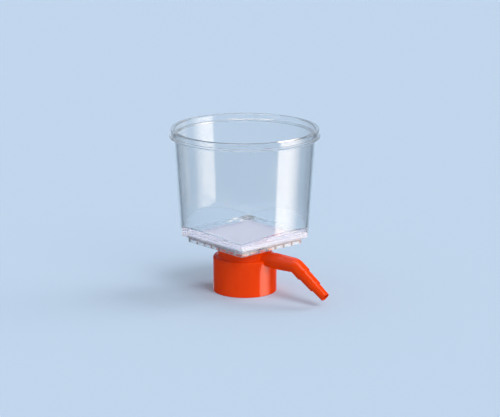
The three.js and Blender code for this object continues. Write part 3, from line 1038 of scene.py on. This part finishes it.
# %% Soften the plate's edges
soften_edges(plate, PLATE_EDGE, 2)
smooth(plate)
settle(plate, "support_plate", "filter", satin, HOLDER_TURN)

# %% [markdown]
# ## The neck adapter
#
# One orange moulding: a skirt that screws onto the bottle, a shoulder, and a narrower collar that is
# welded to the plate. A web across the inside holds the seal, and its wide hole lets the filtrate
# through and the air out. The port for the vacuum stands out of the collar. Skirt, collar and web
# are one turned outline, whose rings are then rounded, and the port is turned and laid on its side.

# %% Turn the adapter
SKIRT = -adapter_low.x / MM
COLLAR_TOP = PLATE_BOTTOM + TOUCH
NECK_BORE = 23.2
WEB_BOTTOM = 23.8
WEB_TOP = 26.3
WEB_HOLE = 11
SHOULDER = 30
COLLAR = 22.8
CHAMBER = 20.6
ADAPTER_STEPS = 256
SHOULDER_ROUND = 2.2
COLLAR_FILLET = 1.2
FOOT_ROUND = 0.5
SMALL_ROUND = 0.3

adapter = turned(
    "orange_adapter",
    [
        (WEB_HOLE, WEB_BOTTOM),
        (NECK_BORE, WEB_BOTTOM),
        (NECK_BORE, 0),
        (SKIRT, 0),
        (SKIRT, SHOULDER),
        (COLLAR, SHOULDER),
        (COLLAR, COLLAR_TOP),
        (CHAMBER, COLLAR_TOP),
        (CHAMBER, WEB_TOP),
        (WEB_HOLE, WEB_TOP),
        (WEB_HOLE, WEB_BOTTOM),
    ],
    ADAPTER_STEPS,
)
small_rings = [(COLLAR, COLLAR_TOP), (CHAMBER, COLLAR_TOP), (WEB_HOLE, WEB_TOP), (WEB_HOLE, WEB_BOTTOM)]
round_rings(adapter, [(SKIRT, 0), (NECK_BORE, 0)], FOOT_ROUND)
round_rings(adapter, [(SKIRT, SHOULDER)], SHOULDER_ROUND, 8)
round_rings(adapter, [(COLLAR, SHOULDER)], COLLAR_FILLET, 6)
round_rings(adapter, small_rings, SMALL_ROUND)
print("skirt:", round(2 * SKIRT, 2), "mm across")

# %% Add the suction port
SPIGOT_END = adapter_high.x / MM
PORT_HEIGHT = frame["joints"][0]["pos_m"][2] / MM
PORT_ROOT = 0.4  # from the collar's inside into its wall
BOSS = 6.2
BOSS_END = 31.5
SPIGOT = 4.6
PORT_BORE = 3.05
PORT_ROUND = 0.5


def along_port(piece):
    """Lays a form that was turned about the Z axis along the suction port, which points along X."""
    only(piece)
    piece.rotation_euler.y = math.pi / 2
    piece.location.z = PORT_HEIGHT * MM
    bpy.ops.object.transform_apply(location=True, rotation=True, scale=True)
    return piece


port = turned(
    "port",
    [
        (0, CHAMBER + PORT_ROOT),
        (BOSS, CHAMBER + PORT_ROOT),
        (BOSS, BOSS_END),
        (SPIGOT, BOSS_END),
        (SPIGOT, SPIGOT_END),
        (0, SPIGOT_END),
    ],
    SMALL_ROUND_STEPS,
)
round_rings(port, [(BOSS, BOSS_END), (SPIGOT, SPIGOT_END)], PORT_ROUND)
combine(adapter, along_port(port), "UNION")
combine(adapter, along_port(rod("bore", PORT_BORE, WEB_HOLE, SPIGOT_END + CLEAR)), "DIFFERENCE")
print("port ends", round(SPIGOT_END, 2), "mm from the axis")

# %% [markdown]
# ## The thread
#
# The thread inside the skirt is a wedge that climbs by one pitch a turn. Its section is drawn as a
# small plane with its face removed, the edge towards the axis is made shorter, and a Screw modifier
# sweeps it. The ends are closed before it is joined to the skirt.

# %% Wind the thread
THREAD_PITCH = 4
THREAD_TURNS = 2.75
THREAD_START = 4.2
THREAD_HEIGHT = 1.4
THREAD_ROOT = 0.4  # sunk into the skirt
THREAD_FOOT = 2.6  # its width at the root
THREAD_CREST = 0.35  # its width at the crest, as a share of the foot
THREAD_STEPS = 96

depth = THREAD_HEIGHT + THREAD_ROOT
crest = NECK_BORE - THREAD_HEIGHT
bpy.ops.mesh.primitive_plane_add(size=1, rotation=(math.pi / 2, 0, 0))
thread = bpy.context.active_object
thread.name = "thread"
thread.scale = Vector((depth, THREAD_FOOT, 1)) * MM
thread.location = Vector((crest + depth / 2, 0, THREAD_START)) * MM
bpy.ops.object.transform_apply(location=True, rotation=True, scale=True)
bpy.ops.object.mode_set(mode="EDIT")
bpy.ops.mesh.delete(type="ONLY_FACE")
pick("verts", lambda place: near(place.x, crest))
crest_place = Vector((crest, 0, THREAD_START)) * MM
bpy.ops.transform.resize(value=(1, 1, THREAD_CREST), center_override=crest_place)
bpy.ops.object.mode_set(mode="OBJECT")
apply_modifier(
    thread,
    "SCREW",
    angle=THREAD_TURNS * math.tau,
    screw_offset=THREAD_TURNS * THREAD_PITCH * MM,
    steps=int(THREAD_TURNS * THREAD_STEPS),
    render_steps=int(THREAD_TURNS * THREAD_STEPS),
)
print("thread:", THREAD_TURNS, "turns,", len(thread.data.polygons), "faces")

# %% Close the thread and join it to the skirt
bpy.ops.object.mode_set(mode="EDIT")
bpy.ops.mesh.select_all(action="SELECT")
bpy.ops.mesh.remove_doubles(threshold=MERGE)
bpy.ops.mesh.select_all(action="SELECT")
bpy.ops.mesh.fill_holes(sides=8)
bpy.ops.mesh.select_all(action="SELECT")
bpy.ops.mesh.normals_make_consistent(inside=False)
bpy.ops.object.mode_set(mode="OBJECT")
combine(adapter, thread, "UNION")
smooth(adapter)
settle(adapter, "neck_adapter", "filter", orange)

# %% [markdown]
# ## The neck seal
#
# The bottle's lip presses on this soft ring under the web. It is a plain turned ring, and its edges
# are rounded as a rubber mould leaves them.

# %% Turn the seal
SEAL_WIDTH = 7.4

seal_low, seal_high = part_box("neck_seal")
seal_outside = seal_high.x / MM
seal_inside = seal_outside - SEAL_WIDTH
seal_bottom, seal_top = seal_low.z / MM, seal_high.z / MM
seal = pipe("soft_seal", seal_inside, seal_outside, seal_bottom, seal_top)
round_rings(seal, [(r, z) for r in (seal_inside, seal_outside) for z in (seal_bottom, seal_top)], SMALL_ROUND)
smooth(seal)
settle(seal, "neck_seal", "filter", silicone)

# %% [markdown]
# ## The hose connector
#
# The connector is pushed over the port and turns on it. Its sleeve runs straight, bends down, and
# ends in a tail with two steps that grip hoses of two sizes. The mould's core follows the same line,
# so the wall can be drawn as one closed outline of radius against distance along that line. Each
# corner of the outline is a circle, made from the last one by extrude, scale and turn.

# %% Find the connector's centreline
SLEEVE_LENGTH = 19.7
BEND_RADIUS = 9
BEND_ANGLE = math.radians(34.5)

connector_low, connector_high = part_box("hose_connector")
bend_length = BEND_RADIUS * BEND_ANGLE
bend_start = connector_low.x / MM + SLEEVE_LENGTH
tail_start = SLEEVE_LENGTH + bend_length


def centreline(distance):
    """The place on the connector's centreline, and how far it has turned down, at a distance in mm."""
    turn = min(max((distance - SLEEVE_LENGTH) / bend_length, 0), 1) * BEND_ANGLE
    before = min(distance - SLEEVE_LENGTH, 0)
    after = max(distance - tail_start, 0)
    x = bend_start + before + BEND_RADIUS * math.sin(turn) + after * math.cos(turn)
    z = PORT_HEIGHT - BEND_RADIUS * (1 - math.cos(turn)) - after * math.sin(turn)
    return Vector((x, 0, z)) * MM, turn


print("the tail starts at", [round(c / MM, 1) for c in centreline(tail_start)[0]])

# %% Draw the wall along the centreline
TUBE_SIDES = 96
BEND_STEPS = 16


def bent_tube(name, outline):
    """A tube whose wall is a closed outline of (radius, distance) corners along the centreline."""
    radius, distance = outline[0]
    here, turn = centreline(distance)
    bpy.ops.mesh.primitive_circle_add(
        vertices=TUBE_SIDES, radius=radius * MM, location=here, rotation=(0, math.pi / 2, 0)
    )
    piece = bpy.context.active_object
    piece.name = name
    bpy.ops.object.transform_apply(location=True, rotation=True, scale=True)
    bpy.ops.object.mode_set(mode="EDIT")
    bpy.ops.mesh.select_mode(type="EDGE")
    bpy.ops.mesh.select_all(action="SELECT")
    for next_radius, next_distance in outline[1:]:
        there, next_turn = centreline(next_distance)
        size = next_radius / radius
        bpy.ops.mesh.extrude_region_move(TRANSFORM_OT_translate={"value": there - here})
        bpy.ops.transform.resize(value=(size, size, size), center_override=there)
        bpy.ops.transform.rotate(value=turn - next_turn, orient_axis="Y", center_override=there)
        radius, here, turn = next_radius, there, next_turn
    bpy.ops.mesh.select_all(action="SELECT")
    bpy.ops.mesh.remove_doubles(threshold=MERGE)
    bpy.ops.mesh.normals_make_consistent(inside=False)
    bpy.ops.object.mode_set(mode="OBJECT")
    return piece


def across_bend(radius):
    """Outline corners at one radius from one end of the bend to the other."""
    return [(radius, SLEEVE_LENGTH + bend_length * step / BEND_STEPS) for step in range(BEND_STEPS + 1)]


print("the bend is", round(bend_length, 2), "mm long")


# %% Model the connector
SLEEVE_MOUTH = 6.8  # radii of the outside
SLEEVE = 6.3
LARGE_STEP = 5.45
LARGE_STEP_END = 5.2
SMALL_STEP = 4.3
TIP = 3.85
SOCKET = 4.9  # radii of the inside
HOSE_BORE = 2.9
TIP_BORE = 2.45
SOCKET_DEPTH = 12  # distances along the centreline
SOCKET_CHAMFER = 0.3
LARGE_STEP_START = tail_start + 7.7
SMALL_STEP_START = tail_start + 22.5
TIP_END = tail_start + 34.94
CONNECTOR_EDGE = 0.25

connector = bent_tube(
    "orange_connector",
    [
        (SLEEVE_MOUTH, 0),
        *across_bend(SLEEVE),
        (SLEEVE, LARGE_STEP_START),
        (LARGE_STEP, LARGE_STEP_START),
        (LARGE_STEP_END, SMALL_STEP_START),
        (SMALL_STEP, SMALL_STEP_START),
        (TIP, TIP_END),
        (TIP_BORE, TIP_END),
        *reversed(across_bend(HOSE_BORE)),
        (HOSE_BORE, SOCKET_DEPTH + SOCKET_CHAMFER),
        (SOCKET, SOCKET_DEPTH),
        (SOCKET, 0),
        (SLEEVE_MOUTH, 0),
    ],
)
soften_edges(connector, CONNECTOR_EDGE, 3)
smooth(connector)
settle(connector, "hose_connector", "connector", orange)

# %% [markdown]
# ## Finishing
#
# Colours are shown as they are, with no film look. Light needs many bounces to get through the
# walls, ribs and pockets of the clear pieces. The size of the finished pieces is printed at the end.

# %% Set the look
LIGHT_BOUNCES = 32

scene = bpy.context.scene
scene.view_settings.view_transform = "Standard"
scene.cycles.max_bounces = LIGHT_BOUNCES
scene.cycles.transmission_bounces = LIGHT_BOUNCES
scene.cycles.glossy_bounces = LIGHT_BOUNCES
print("light bounces:", LIGHT_BOUNCES)

# %% Measure and finish
low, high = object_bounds()
print("finished size in mm:", [round(side / MM, 2) for side in high - low])
